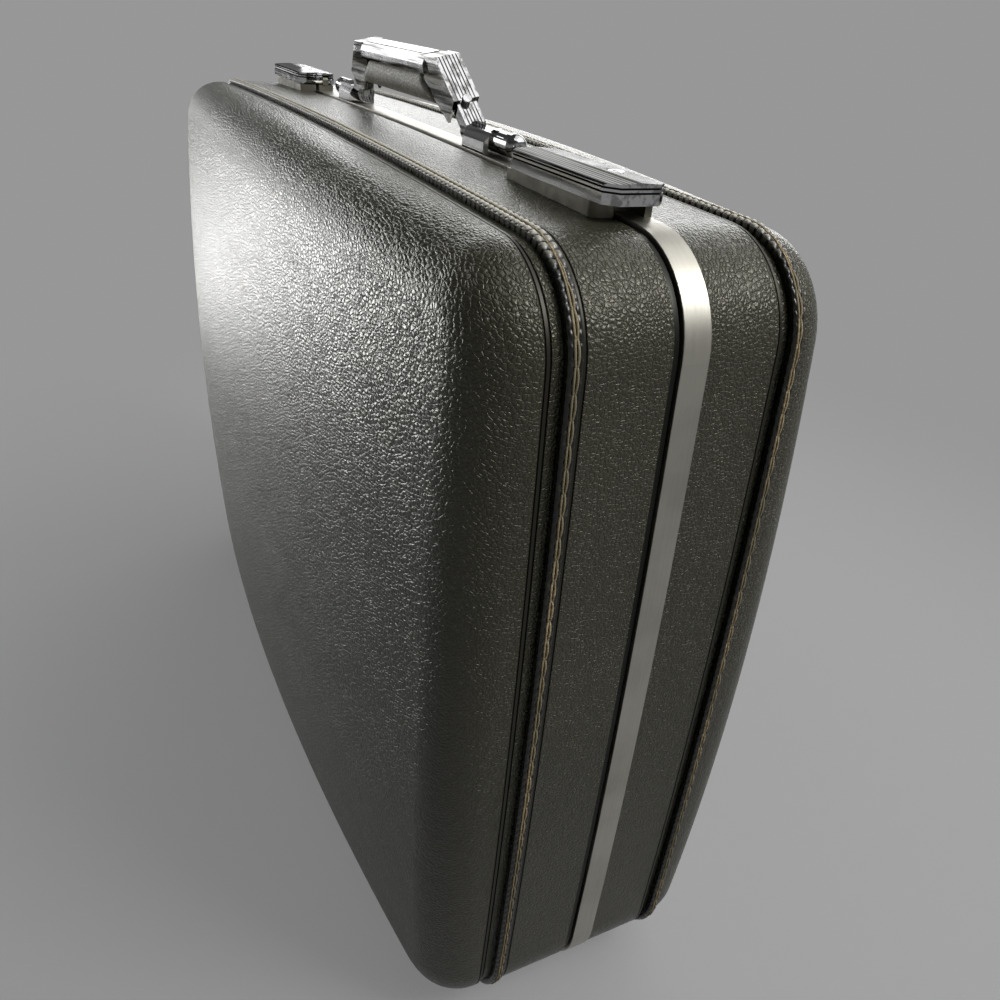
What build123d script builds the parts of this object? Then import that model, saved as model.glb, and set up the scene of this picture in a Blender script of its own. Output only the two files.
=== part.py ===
from build123d import *
import os
import math

os.makedirs("parts", exist_ok=True)

# Driving dimensions, in millimetres. X runs along the case, Y through its depth, Z is up.
# The front half, on the -Y side, is the lid. The back half is the base.
# Case body
case_width = 660.0
case_height = 460.0
bow_side = 6.0
bow_top = 5.0
corner_radius = 46.0
wall = 4.0
foot_height = 10.0

# Depths of the lid, measured from the parting plane or from the piece before
lid_pole = 114.0
lid_band_depth = 45.5
lid_welt_width = 7.0
lid_groove_width = 6.5
parting_gap = 1.2

# Depths of the base, measured in the same way
base_pole = 109.0
base_band_depth = 50.5
base_groove_width = 5.5
base_welt_width = 6.0
strip_width = 13.5
strip_proud = 0.6
strip_rounding = 0.4

# Domed face panels
panel_inset = 1.5
panel_thickness = 3.5
lid_rounding = 30.0
base_rounding = 22.0
crown_drop = 22.0
rounding_wall = 2.0
groove_inset = 2.8
lip_inset = 6.5
lip_overlap = 4.0

# Welt of two cords with a channel between them
cord_proud = 1.5
cord_rounding = 1.1
channel_proud = 0.8
channel_width = 0.4
welt_seat = 0.05

# Frame rails and their tongue
rail_inset = 6.4
rail_flange_depth = 31.0
lid_rail_edge = 3.2
lid_rail_inset = 1.0
lid_rail_depth = 20.0
tongue_reach = 5.2
tongue_thickness = 1.6
tongue_clearance = 0.4
tongue_floor = 70.0

# Lining trays
lining_thickness = 1.3
lining_gap = 5.5
lining_shoulder = 18.0
lining_slope = 26.0
seat = 0.3

# Hinges along the bottom
hinge_from_end = 130.0
hinge_length = 60.0
hinge_axis_drop = 4.6
knuckle_radius = 2.6
hinge_pin_radius = 1.2
leaf_thickness = 1.6
leaf_reach = 18.0
knuckle_gap = 0.4
running_clearance = 0.05

# Feet
foot_from_end = 75.0
foot_edge = 2.0
foot_radius = 9.0
foot_rounding = 1.5

# Latches
latch_from_end = 140.0
latch_length = 92.0
latch_width = 30.0
latch_corner = 5.5
latch_lift = 3.5
latch_thickness = 9.0
latch_ridge = 0.8
plate_height = 3.2
plate_margin = 1.6
plate_end = 12.0
latch_axis_in = 3.3
latch_pin_radius = 1.25
latch_pin_length = 11.0
ear_width = 4.4
ear_slot_clearance = 0.35
side_groove = 0.8
side_groove_depth = 0.5
key_along = 61.0
key_off = 7.0
key_radius = 4.0
key_depth = 2.4
keyhole_width = 1.2
keyhole_length = 4.6

# Handle
pivot_offset = 9.6
pivot_lift = 7.0
handle_lean = 12.0
pivot_pin_radius = 2.0
knuckle_start = 93.5
knuckle_end = 103.4
foot_knuckle_radius = 6.2
link_half_width = 6.0
sleeve_half_width = 7.9
sheet = 1.5
link_line = 108.4
link_top = 27.0
sleeve_top = 37.5
sleeve_base_v = 16.7
sleeve_depth = 13.0
cap_half_length = 57.3
cap_base = 28.0
cap_bevel = 33.0
cap_top_half_width = 7.0
cap_half_width = 9.6
inlay_half_width = 4.4
inlay_depth = 0.9
inlay_margin = 5.0
grip_bottom = 10.0
grip_half_width = 11.0
boss_radius = 2.9
boss_height = 1.3
rib_count = 6
rib_width = 0.7
rib_depth = 0.5

# Handle posts
post_start = 104.0
post_end = 134.0
post_half_width = 9.4
post_height = 11.0
post_chamfer = 3.2
barrel_end = 149.0
barrel_radius = 6.2
cap_end = 156.0
flute_count = 5
flute_width = 1.0
flute_depth = 0.6

# Levels that follow from the driving dimensions. Y is zero midway between the two poles.
mid_z = foot_height + case_height / 2
top_z = foot_height + case_height
parting_y = (lid_pole - base_pole) / 2
lid_edge = parting_y - parting_gap
lid_band_edge = parting_y - lid_band_depth
lid_welt_edge = lid_band_edge - lid_welt_width
lid_panel_edge = lid_welt_edge - lid_groove_width
strip_back = parting_y + strip_width
base_band_edge = parting_y + base_band_depth
base_groove_edge = base_band_edge + base_groove_width
base_panel_edge = base_groove_edge + base_welt_width
pivot_y = parting_y + pivot_offset
pivot_z = top_z + pivot_lift

# The crown of a face: the drop is measured where the corner rounds have their centres
crown_reach = math.hypot(case_width / 2 - corner_radius, case_height / 2 - corner_radius)
crown_radius = (crown_reach ** 2 + crown_drop ** 2) / (2 * crown_drop)


# The bowed outline of the case, drawn in a sketch plane and set in by a distance
def outline(inset):
    w = case_width / 2 - inset
    h = case_height / 2 - inset
    a = w - bow_side
    b = h - bow_top
    with BuildSketch(Plane.XY, mode=Mode.PRIVATE) as shape:
        with BuildLine():
            ThreePointArc((a, -b), (w, 0), (a, b))
            ThreePointArc((a, b), (0, h), (-a, b))
            ThreePointArc((-a, b), (-w, 0), (-a, -b))
            ThreePointArc((-a, -b), (0, -h), (a, -b))
        make_face()
        fillet(shape.vertices(), corner_radius - inset)
    return shape.sketch


# A plane across the case at a depth, facing the front for -1 or the back for +1
def depth_plane(y, side):
    return Plane(origin=(0, y, mid_z), x_dir=(-side, 0, 0), z_dir=(0, side, 0))


# A band that follows the outline between two depths and two insets
def band(y_from, y_to, outer, inner):
    with BuildPart(mode=Mode.PRIVATE) as body:
        side = 1 if y_to > y_from else -1
        with BuildSketch(depth_plane(y_from, side)):
            add(outline(outer))
            add(outline(inner), mode=Mode.SUBTRACT)
        extrude(amount=abs(y_to - y_from))
    return body.part


# A filled body that follows the outline, used to trim pieces that sit on the case
def case_block(y_from, y_to, inset):
    with BuildPart(mode=Mode.PRIVATE) as block:
        with BuildSketch(depth_plane(y_from, 1)):
            add(outline(inset))
        extrude(amount=y_to - y_from)
    return block.part


# A crowned block with a rounded front edge, whose pole is at a depth in front
def dome(inset, y_start, y_pole, rounding, radius):
    with BuildPart(mode=Mode.PRIVATE) as block:
        with BuildSketch(depth_plane(-y_start, -1)):
            add(outline(inset))
        extrude(amount=y_pole - y_start)
        with Locations((0, radius - y_pole, mid_z)):
            Sphere(radius=radius, mode=Mode.INTERSECT)
        rim = block.faces().sort_by(Axis.Y)[0].edges()
        fillet(rim, rounding)
    return block.part


# Face panel: a crowned shell of even thickness, drawn on the front. Its rounding leaves a wall.
def face_panel(y_start, y_pole, full_rounding):
    with BuildPart(mode=Mode.PRIVATE) as body:
        rounding = min(full_rounding, y_pole - y_start - crown_drop - rounding_wall)
        add(dome(panel_inset, y_start, y_pole, rounding, crown_radius))
        t = panel_thickness
        add(
            dome(panel_inset + t, y_start - 1, y_pole - t, rounding - t, crown_radius - t),
            mode=Mode.SUBTRACT,
        )
    return body.part


with BuildPart() as lid_front_panel:
    add(face_panel(-lid_panel_edge, lid_pole - parting_y, lid_rounding))
lid_front_panel.part.label = "lid_front_panel"

with BuildPart() as base_back_panel:
    mirror(face_panel(base_panel_edge, base_pole + parting_y, base_rounding), about=Plane.XZ)
base_back_panel.part.label = "base_back_panel"

# Side band of the lid, with the recessed lip under the welt and the open groove
with BuildPart() as lid_side_band:
    add(band(lid_edge - lid_rail_edge, lid_band_edge, 0, wall))
    add(band(lid_band_edge + lip_overlap, lid_panel_edge, groove_inset, lip_inset))
lid_side_band.part.label = "lid_side_band"

# Side band of the base, with the same lip under its groove and its welt
with BuildPart() as base_side_band:
    add(band(strip_back, base_band_edge, 0, wall))
    add(band(base_band_edge - lip_overlap, base_panel_edge, groove_inset, lip_inset))
base_side_band.part.label = "base_side_band"


# A band with both of its outer edges rounded
def rounded_band(y_from, y_to, outer, inner, rounding):
    with BuildPart(mode=Mode.PRIVATE) as body:
        add(band(y_from, y_to, outer, inner))
        rims = [face.outer_wire().edges() for face in body.faces().filter_by(Axis.Y)]
        fillet([edge for rim in rims for edge in rim], rounding)
    return body.part


# Welt: two rounded cords that sit on the lip, with a low channel between them
def welt(y_start, width):
    with BuildPart(mode=Mode.PRIVATE) as body:
        low = groove_inset - welt_seat
        cord = (width - channel_width) / 2
        first = y_start + cord
        second = first + channel_width
        add(rounded_band(y_start, first, -cord_proud, low, cord_rounding))
        add(band(first, second, -channel_proud, low))
        add(rounded_band(second, y_start + width, -cord_proud, low, cord_rounding))
    return body.part


with BuildPart() as lid_welt:
    add(welt(lid_welt_edge, lid_welt_width))
lid_welt.part.label = "lid_welt"

with BuildPart() as base_welt:
    add(welt(base_groove_edge, base_welt_width))
base_welt.part.label = "base_welt"

# Metal strip of the base: the bright band outside, with a flange inside the wall
with BuildPart() as base_frame_rail:
    add(rounded_band(parting_y, strip_back, -strip_proud, rail_inset, strip_rounding))
    add(band(strip_back, parting_y + rail_flange_depth, wall + seat, rail_inset))
base_frame_rail.part.label = "base_frame_rail"

# Rail of the lid, with a tongue that enters the base at the top and the ends
with BuildPart() as lid_frame_rail:
    tongue_out = rail_inset + tongue_clearance
    tongue_in = tongue_out + tongue_thickness
    add(band(lid_edge, lid_edge - lid_rail_edge, lid_rail_inset, tongue_in))
    add(band(lid_edge - lid_rail_edge, lid_edge - lid_rail_depth, wall + seat, tongue_in))
    with BuildSketch(depth_plane(lid_edge, 1)) as tongue:
        add(outline(tongue_out))
        add(outline(tongue_in), mode=Mode.SUBTRACT)
        with Locations((0, tongue_floor / 2 - case_height / 2)):
            Rectangle(case_width, tongue_floor, mode=Mode.SUBTRACT)
    extrude(amount=tongue_reach)
lid_frame_rail.part.label = "lid_frame_rail"


# Linings, with a floor that clears the inside of the face panel
lining_back = panel_thickness + crown_drop + lining_gap


# Lining: a tray with sloping shoulders
def tray(y_start, y_floor, inset):
    side = 1 if y_floor > y_start else -1
    with BuildPart(mode=Mode.PRIVATE) as body:
        with BuildSketch(depth_plane(y_start, side)):
            add(outline(inset))
        extrude(amount=abs(y_floor - y_start))
        front = faces().sort_by(Axis.Y)[0 if side < 0 else -1]
        chamfer(front.edges(), lining_shoulder, lining_slope, reference=front)
        with BuildPart(mode=Mode.PRIVATE) as hollow:
            t = lining_thickness
            with BuildSketch(depth_plane(y_start - side, side)):
                add(outline(inset + t))
            extrude(amount=abs(y_floor - y_start) - t + 1)
            face = hollow.faces().sort_by(Axis.Y)[0 if side < 0 else -1]
            chamfer(face.edges(), lining_shoulder, lining_slope, reference=face)
        add(hollow.part, mode=Mode.SUBTRACT)
    return body.part


with BuildPart() as lid_lining:
    clear = rail_inset + tongue_clearance + tongue_thickness + seat
    add(tray(lid_edge - lid_rail_edge, parting_y - lid_pole + lining_back, clear))
lid_lining.part.label = "lid_lining"

with BuildPart() as base_lining:
    add(tray(lid_edge + tongue_reach + 1.0, parting_y + base_pole - lining_back, rail_inset + seat))
base_lining.part.label = "base_lining"


# Feet: round studs near the end of a band, trimmed to the bowed underside
def feet(y):
    with BuildPart(mode=Mode.PRIVATE) as body:
        foot_x = case_width / 2 - foot_from_end
        with BuildSketch(Plane.XY):
            with Locations((-foot_x, y), (foot_x, y)):
                Circle(foot_radius)
        extrude(amount=foot_height + 8)
        chamfer(faces().filter_by(Axis.Z).sort_by(Axis.Z)[:2].edges(), foot_rounding)
        add(case_block(lid_band_edge, base_band_edge, -0.05), mode=Mode.SUBTRACT)
    return body.part


with BuildPart() as lid_feet:
    add(feet(lid_band_edge + foot_edge + foot_radius))
lid_feet.part.label = "lid_feet"

with BuildPart() as base_feet:
    add(feet(base_band_edge - foot_edge - foot_radius))
base_feet.part.label = "base_feet"

# Hinges under the bottom edge, on one axis in the parting plane
hinge_x = (hinge_from_end - case_width / 2, 0.0, case_width / 2 - hinge_from_end)
hinge_y = parting_y - parting_gap / 2
hinge_z = foot_height - hinge_axis_drop
third = hinge_length / 3


# Leaf plate on the underside, with a short web down to the knuckles
def hinge_leaf(side, x, spans):
    with BuildPart(mode=Mode.PRIVATE) as body:
        inner = hinge_y + side * 0.9
        y_mid = (inner + hinge_y + side * leaf_reach) / 2
        y_len = abs(hinge_y + side * leaf_reach - inner)
        with Locations((x, y_mid, foot_height - leaf_thickness)):
            Box(hinge_length, y_len, 6, align=(Align.CENTER, Align.CENTER, Align.MIN))
        for left, right in spans:
            with Locations((x + (left + right) / 2, hinge_y + side * 1.75, hinge_z)):
                Box(right - left, 1.7, foot_height - hinge_z, align=(Align.CENTER, Align.CENTER, Align.MIN))
            with BuildSketch(Plane.YZ.offset(x + left)):
                with Locations((hinge_y, hinge_z)):
                    Circle(knuckle_radius)
            extrude(amount=right - left)
    return body.part


with BuildPart() as base_hinge_leaves:
    for x in hinge_x:
        outer = ((-hinge_length / 2, -third / 2 - knuckle_gap), (third / 2 + knuckle_gap, hinge_length / 2))
        add(hinge_leaf(1, x, outer))
    add(case_block(lid_band_edge, strip_back, -strip_proud - 0.05), mode=Mode.SUBTRACT)
    add(case_block(strip_back - 0.1, base_band_edge, -0.05), mode=Mode.SUBTRACT)
    with BuildSketch(Plane.YZ.offset(-case_width / 2)):
        with Locations((hinge_y, hinge_z)):
            Circle(hinge_pin_radius + 0.02)
    extrude(amount=case_width, mode=Mode.SUBTRACT)
base_hinge_leaves.part.label = "base_hinge_leaves"

with BuildPart() as lid_hinge_leaves:
    for x in hinge_x:
        add(hinge_leaf(-1, x, ((-third / 2, third / 2),)))
    add(case_block(lid_band_edge, base_band_edge, -0.05), mode=Mode.SUBTRACT)
    with BuildSketch(Plane.YZ.offset(-case_width / 2)):
        with Locations((hinge_y, hinge_z)):
            Circle(hinge_pin_radius + running_clearance)
    extrude(amount=case_width, mode=Mode.SUBTRACT)
lid_hinge_leaves.part.label = "lid_hinge_leaves"

with BuildPart() as hinge_pins:
    for x in hinge_x:
        with BuildSketch(Plane.YZ.offset(x - hinge_length / 2 - 0.5)):
            with Locations((hinge_y, hinge_z)):
                Circle(hinge_pin_radius)
        extrude(amount=hinge_length + 1)
hinge_pins.part.label = "hinge_pins"

# Latches. Each is drawn on the +X side and mirrored for the left one.
latch_start = case_width / 2 - latch_from_end
latch_mid = parting_y
latch_base_z = top_z + latch_lift
latch_axis_x = latch_start + latch_axis_in
latch_axis_z = latch_base_z + latch_axis_in
latch_end = latch_start + latch_length
ear_y = latch_mid + 6.5


# A clipped rectangle in plan
def clipped(x0, x1, y0, y1, clip):
    with BuildSketch(Plane.XY, mode=Mode.PRIVATE) as shape:
        with Locations(((x0 + x1) / 2, (y0 + y1) / 2)):
            Rectangle(x1 - x0, y1 - y0)
        chamfer(shape.vertices(), clip)
    return shape.sketch


# Fixed bed of the latch on the base, with the hinge ear and the foot beside the strip
def latch_bed():
    with BuildPart(mode=Mode.PRIVATE) as body:
        y0 = parting_y + 0.4
        y1 = latch_mid + latch_width / 2 - plate_margin
        low = top_z - 8
        with BuildSketch(Plane.XY.offset(low)):
            add(clipped(latch_start + plate_margin, latch_end - 20, y0, y1, 1.0))
        extrude(amount=top_z + plate_height - low)
        with BuildSketch(Plane.XY.offset(low)):
            with Locations((latch_end - plate_end - 7, y1 - 1.8)):
                Rectangle(20, 3.6)
        extrude(amount=top_z + plate_height - low)
        with BuildSketch(Plane.XZ.offset(-ear_y + ear_width / 2)):
            with Locations((latch_axis_x, latch_axis_z)):
                Circle(latch_axis_in - 0.4)
            with Locations((latch_axis_x, top_z + plate_height)):
                Rectangle(2 * latch_axis_in - 0.8, latch_axis_z - top_z - plate_height,
                          align=(Align.CENTER, Align.MIN))
        extrude(amount=-ear_width)
        add(case_block(lid_band_edge, strip_back, -strip_proud - 0.05), mode=Mode.SUBTRACT)
        add(case_block(strip_back - 0.1, base_band_edge, -0.05), mode=Mode.SUBTRACT)
        with BuildSketch(Plane.XZ.offset(-ear_y + ear_width)):
            with Locations((latch_axis_x, latch_axis_z)):
                Circle(latch_pin_radius + 0.02)
        extrude(amount=-2 * ear_width, mode=Mode.SUBTRACT)
    return body.part


# Catch plate on the lid, under the front half of the cover
def latch_catch():
    with BuildPart(mode=Mode.PRIVATE) as body:
        y0 = latch_mid - latch_width / 2 + 0.6
        y1 = lid_edge - 0.2
        low = top_z - 9
        with BuildSketch(Plane.XY.offset(low)) as plan:
            with Locations(((latch_start + latch_end - plate_end) / 2 + 0.4, (y0 + y1) / 2)):
                Rectangle(latch_length - plate_end - 0.8, y1 - y0)
            fillet(plan.vertices().group_by(Axis.X)[-1], 4.0)
        extrude(amount=top_z + plate_height - low)
        with BuildSketch(Plane.XY.offset(top_z + plate_height)):
            with Locations((latch_start + latch_length * 0.55, y1)):
                Rectangle(16, 7)
        extrude(amount=-2.6, mode=Mode.SUBTRACT)
        add(case_block(lid_band_edge, base_band_edge, -0.05), mode=Mode.SUBTRACT)
    return body.part


# Pin through the ear and the cover
def latch_axle():
    with BuildPart(mode=Mode.PRIVATE) as body:
        with BuildSketch(Plane.XZ.offset(-ear_y + latch_pin_length / 2)):
            with Locations((latch_axis_x, latch_axis_z)):
                Circle(latch_pin_radius)
        extrude(amount=-latch_pin_length)
    return body.part


# Flip cover: clipped plan, ridged top, two grooves round the sides and a hollow underside
def latch_flap():
    with BuildPart(mode=Mode.PRIVATE) as body:
        y0 = latch_mid - latch_width / 2
        y1 = latch_mid + latch_width / 2
        with BuildSketch(Plane.XY.offset(latch_base_z)):
            add(clipped(latch_start, latch_end, y0, y1, latch_corner))
        extrude(amount=latch_thickness)
        with BuildSketch(Plane.YZ.offset(latch_start - 1)):
            with BuildLine():
                Polyline(
                    (y0 - 1, latch_base_z + latch_thickness - latch_ridge - 1.2),
                    (y0 + 1.4, latch_base_z + latch_thickness - latch_ridge),
                    (latch_mid, latch_base_z + latch_thickness),
                    (y1 - 1.4, latch_base_z + latch_thickness - latch_ridge),
                    (y1 + 1, latch_base_z + latch_thickness - latch_ridge - 1.2),
                    (y1 + 1, latch_base_z + latch_thickness + 2),
                    (y0 - 1, latch_base_z + latch_thickness + 2),
                    close=True,
                )
            make_face()
        extrude(amount=latch_length + 2, mode=Mode.SUBTRACT)
        for level in (0.50, 0.70):
            with BuildSketch(Plane.XY.offset(latch_base_z + latch_thickness * level)):
                add(clipped(latch_start - 2, latch_end + 2, y0 - 2, y1 + 2, latch_corner))
                add(
                    clipped(
                        latch_start + side_groove_depth,
                        latch_end - side_groove_depth,
                        y0 + side_groove_depth,
                        y1 - side_groove_depth,
                        latch_corner,
                    ),
                    mode=Mode.SUBTRACT,
                )
            extrude(amount=side_groove, mode=Mode.SUBTRACT)
        with BuildSketch(Plane.XY.offset(latch_base_z)):
            add(clipped(latch_start + 14, latch_end - 4, y0 + 3, y1 - 3, 3.0))
        extrude(amount=latch_thickness - 4.6, mode=Mode.SUBTRACT)
        with BuildSketch(Plane.XZ.offset(-ear_y + ear_width / 2 + ear_slot_clearance)):
            with Locations((latch_start - 1, latch_base_z - 1)):
                Rectangle(
                    latch_axis_in + 6.2,
                    latch_axis_in * 2 + 1.4,
                    align=(Align.MIN, Align.MIN),
                )
        extrude(amount=-ear_width - 2 * ear_slot_clearance, mode=Mode.SUBTRACT)
        with BuildSketch(Plane.XZ.offset(-ear_y + latch_pin_length / 2 + 0.3)):
            with Locations((latch_axis_x, latch_axis_z)):
                Circle(latch_pin_radius + running_clearance)
        extrude(amount=-latch_pin_length - 0.6, mode=Mode.SUBTRACT)
        with BuildSketch(Plane.XZ.offset(-y0 + 1)):
            with BuildLine():
                a = latch_start
                b = latch_base_z
                r = latch_axis_in
                Line((a - 1, b + r), (a, b + r))
                ThreePointArc((a, b + r), (a + r * 0.2929, b + r * 0.2929), (a + r, b))
                Line((a + r, b), (a + r, b - 1))
                Line((a + r, b - 1), (a - 1, b - 1))
                Line((a - 1, b - 1), (a - 1, b + r))
            make_face()
        extrude(amount=-latch_width - 2, mode=Mode.SUBTRACT)
        with Locations((latch_start + key_along, latch_mid + key_off, latch_base_z + latch_thickness)):
            Cylinder(
                key_radius + running_clearance,
                2 * key_depth,
                mode=Mode.SUBTRACT,
            )
    return body.part


# Key plug with its slot, sitting in the cover
def key_barrel():
    with BuildPart(mode=Mode.PRIVATE) as body:
        z = latch_base_z + latch_thickness - key_depth
        with BuildSketch(Plane.XY.offset(z)):
            with Locations((latch_start + key_along, latch_mid + key_off)):
                Circle(key_radius)
        extrude(amount=key_depth - 0.5)
        with BuildSketch(Plane.XY.offset(z + 0.6)):
            with Locations((latch_start + key_along, latch_mid + key_off)):
                Rectangle(keyhole_length, keyhole_width)
                Circle(keyhole_width * 0.9)
        extrude(amount=key_depth, mode=Mode.SUBTRACT)
    return body.part


with BuildPart() as right_latch_bed:
    add(latch_bed())
right_latch_bed.part.label = "right_latch_bed"

with BuildPart() as left_latch_bed:
    mirror(right_latch_bed.part, about=Plane.YZ)
left_latch_bed.part.label = "left_latch_bed"

with BuildPart() as right_catch_plate:
    add(latch_catch())
right_catch_plate.part.label = "right_catch_plate"

with BuildPart() as left_catch_plate:
    mirror(right_catch_plate.part, about=Plane.YZ)
left_catch_plate.part.label = "left_catch_plate"

with BuildPart() as right_latch_pin:
    add(latch_axle())
right_latch_pin.part.label = "right_latch_pin"

with BuildPart() as left_latch_pin:
    mirror(right_latch_pin.part, about=Plane.YZ)
left_latch_pin.part.label = "left_latch_pin"

with BuildPart() as right_latch_cover:
    add(latch_flap())
right_latch_cover.part.label = "right_latch_cover"

with BuildPart() as left_latch_cover:
    mirror(right_latch_cover.part, about=Plane.YZ)
left_latch_cover.part.label = "left_latch_cover"

with BuildPart() as right_key_plug:
    add(key_barrel())
right_key_plug.part.label = "right_key_plug"

with BuildPart() as left_key_plug:
    mirror(right_key_plug.part, about=Plane.YZ)
left_key_plug.part.label = "left_key_plug"


# Handle posts: a faceted block with the pivot bore, a fluted barrel and its round end
def handle_post():
    with BuildPart(mode=Mode.PRIVATE) as body:
        low = top_z - 4
        with BuildSketch(Plane.YZ.offset(post_start)) as section:
            with BuildLine():
                w = post_half_width
                c = post_chamfer
                h = top_z + post_height
                Polyline(
                    (pivot_y - w, low),
                    (pivot_y + w, low),
                    (pivot_y + w, h - c * 1.6),
                    (pivot_y + w - c, h),
                    (pivot_y - w + c, h),
                    (pivot_y - w, h - c * 1.6),
                    close=True,
                )
            make_face()
        extrude(amount=post_end - post_start)
        chamfer(faces().sort_by(Axis.X)[-1].edges().filter_by(Axis.Z), 2.0)
        for off in (-3.0, 3.0):
            with BuildSketch(Plane.XY.offset(top_z + post_height)):
                with Locations(((post_start + post_end) / 2, pivot_y + off)):
                    Rectangle(post_end - post_start + 2, 0.9)
            extrude(amount=-0.6, mode=Mode.SUBTRACT)
        with BuildSketch(Plane.YZ.offset(post_end - 4)):
            with Locations((pivot_y, pivot_z - 0.2)):
                Circle(barrel_radius)
        extrude(amount=barrel_end - post_end + 4)
        for k in range(flute_count):
            angle = 30 + k * 120 / (flute_count - 1)
            y = pivot_y + barrel_radius * math.cos(math.radians(angle))
            z = pivot_z - 0.2 + barrel_radius * math.sin(math.radians(angle))
            with BuildSketch(Plane.YZ.offset(post_end)):
                with Locations(Location((y, z), angle)):
                    Rectangle(2 * flute_depth, flute_width)
            extrude(amount=barrel_end - post_end - 2, mode=Mode.SUBTRACT)
        add(case_block(lid_band_edge, strip_back, -strip_proud - 0.05), mode=Mode.SUBTRACT)
        add(case_block(strip_back - 0.1, base_band_edge, -0.05), mode=Mode.SUBTRACT)
        with BuildSketch(Plane.YZ.offset(post_start - 1)):
            with Locations((pivot_y, pivot_z)):
                Circle(pivot_pin_radius + running_clearance)
        extrude(amount=24, mode=Mode.SUBTRACT)
    return body.part


# Round end cap that closes the barrel
def post_cap():
    with BuildPart(mode=Mode.PRIVATE) as body:
        with BuildSketch(Plane.YZ.offset(barrel_end)):
            with Locations((pivot_y, pivot_z - 0.2)):
                Circle(barrel_radius)
        extrude(amount=cap_end - barrel_end)
        fillet(faces().sort_by(Axis.X)[-1].edges(), barrel_radius * 0.75)
    return body.part


with BuildPart() as right_handle_post:
    add(handle_post())
right_handle_post.part.label = "right_handle_post"

with BuildPart() as left_handle_post:
    mirror(right_handle_post.part, about=Plane.YZ)
left_handle_post.part.label = "left_handle_post"

with BuildPart() as right_post_cap:
    add(post_cap())
right_post_cap.part.label = "right_post_cap"

with BuildPart() as left_post_cap:
    mirror(right_post_cap.part, about=Plane.YZ)
left_post_cap.part.label = "left_post_cap"

# Handle, drawn on a plane that leans to the front about the pivot axis.
# In that plane the first number is X and the second is the height over the pivot.
lean = math.radians(handle_lean)
handle_plane = Plane(
    origin=(0, pivot_y, pivot_z),
    x_dir=(1, 0, 0),
    z_dir=(0, -math.cos(lean), -math.sin(lean)),
)
sleeve_line = link_line + (sheet + seat) * math.sqrt(2)
boss_v = sleeve_base_v - 1.5
boss_offset = link_line - 2 * boss_v


# Extrude a polygon of the handle plane evenly to both sides
def handle_slab(points, half_width):
    with BuildPart(mode=Mode.PRIVATE) as body:
        with BuildSketch(handle_plane):
            with BuildLine():
                Polyline(*points, close=True)
            make_face()
        extrude(amount=half_width, both=True)
    return body.part


# Channel link from the pivot knuckle up into the sleeve
def link():
    with BuildPart(mode=Mode.PRIVATE) as body:
        s = sheet * math.sqrt(2)
        add(handle_slab(
            [
                (knuckle_end, -foot_knuckle_radius * 0.3),
                (knuckle_end, link_line - knuckle_end),
                (link_line - link_top, link_top),
                (link_line - link_top - 5.5, link_top - 5.5),
                (knuckle_start + 1, 1.4),
                (knuckle_start + 1, -foot_knuckle_radius * 0.3),
            ],
            link_half_width,
        ))
        add(handle_slab(
            [
                (knuckle_end - sheet, link_line - knuckle_end - s + sheet),
                (link_line - link_top - 2 - s, link_top + 2),
                (link_line - link_top - 14 - s, link_top - 10),
                (knuckle_start - 8, 6.6),
                (knuckle_end - sheet, 6.6),
            ],
            link_half_width - sheet), mode=Mode.SUBTRACT)
        across = Plane(origin=(knuckle_start, pivot_y, pivot_z), x_dir=(0, 1, 0), z_dir=(1, 0, 0))
        with BuildSketch(across):
            Circle(foot_knuckle_radius)
        extrude(amount=knuckle_end - knuckle_start)
        with BuildSketch(across):
            Rectangle(7.0, 7.0, rotation=-handle_lean)
        extrude(amount=1.6, mode=Mode.SUBTRACT)
        with BuildSketch(across):
            Circle(pivot_pin_radius + 0.02)
        extrude(amount=knuckle_end - knuckle_start, mode=Mode.SUBTRACT)
        web = web_plane(link_line)
        for k in range(rib_count - 1):
            off = (k - (rib_count - 2) / 2) * 1.9
            with BuildSketch(web):
                with Locations((off, -14.5)):
                    Rectangle(rib_width, 18)
            extrude(amount=-rib_depth, mode=Mode.SUBTRACT)
    return body.part


# Plane on the outer face of a web, centred on the axis of the boss
def web_plane(line):
    v = (line - boss_offset) / 2
    n = (math.sqrt(0.5), -math.sin(lean) * math.sqrt(0.5), math.cos(lean) * math.sqrt(0.5))
    origin = (line - v, pivot_y - v * math.sin(lean), pivot_z + v * math.cos(lean))
    return Plane(origin=origin, x_dir=(0, math.cos(lean), math.sin(lean)), z_dir=n)


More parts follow.
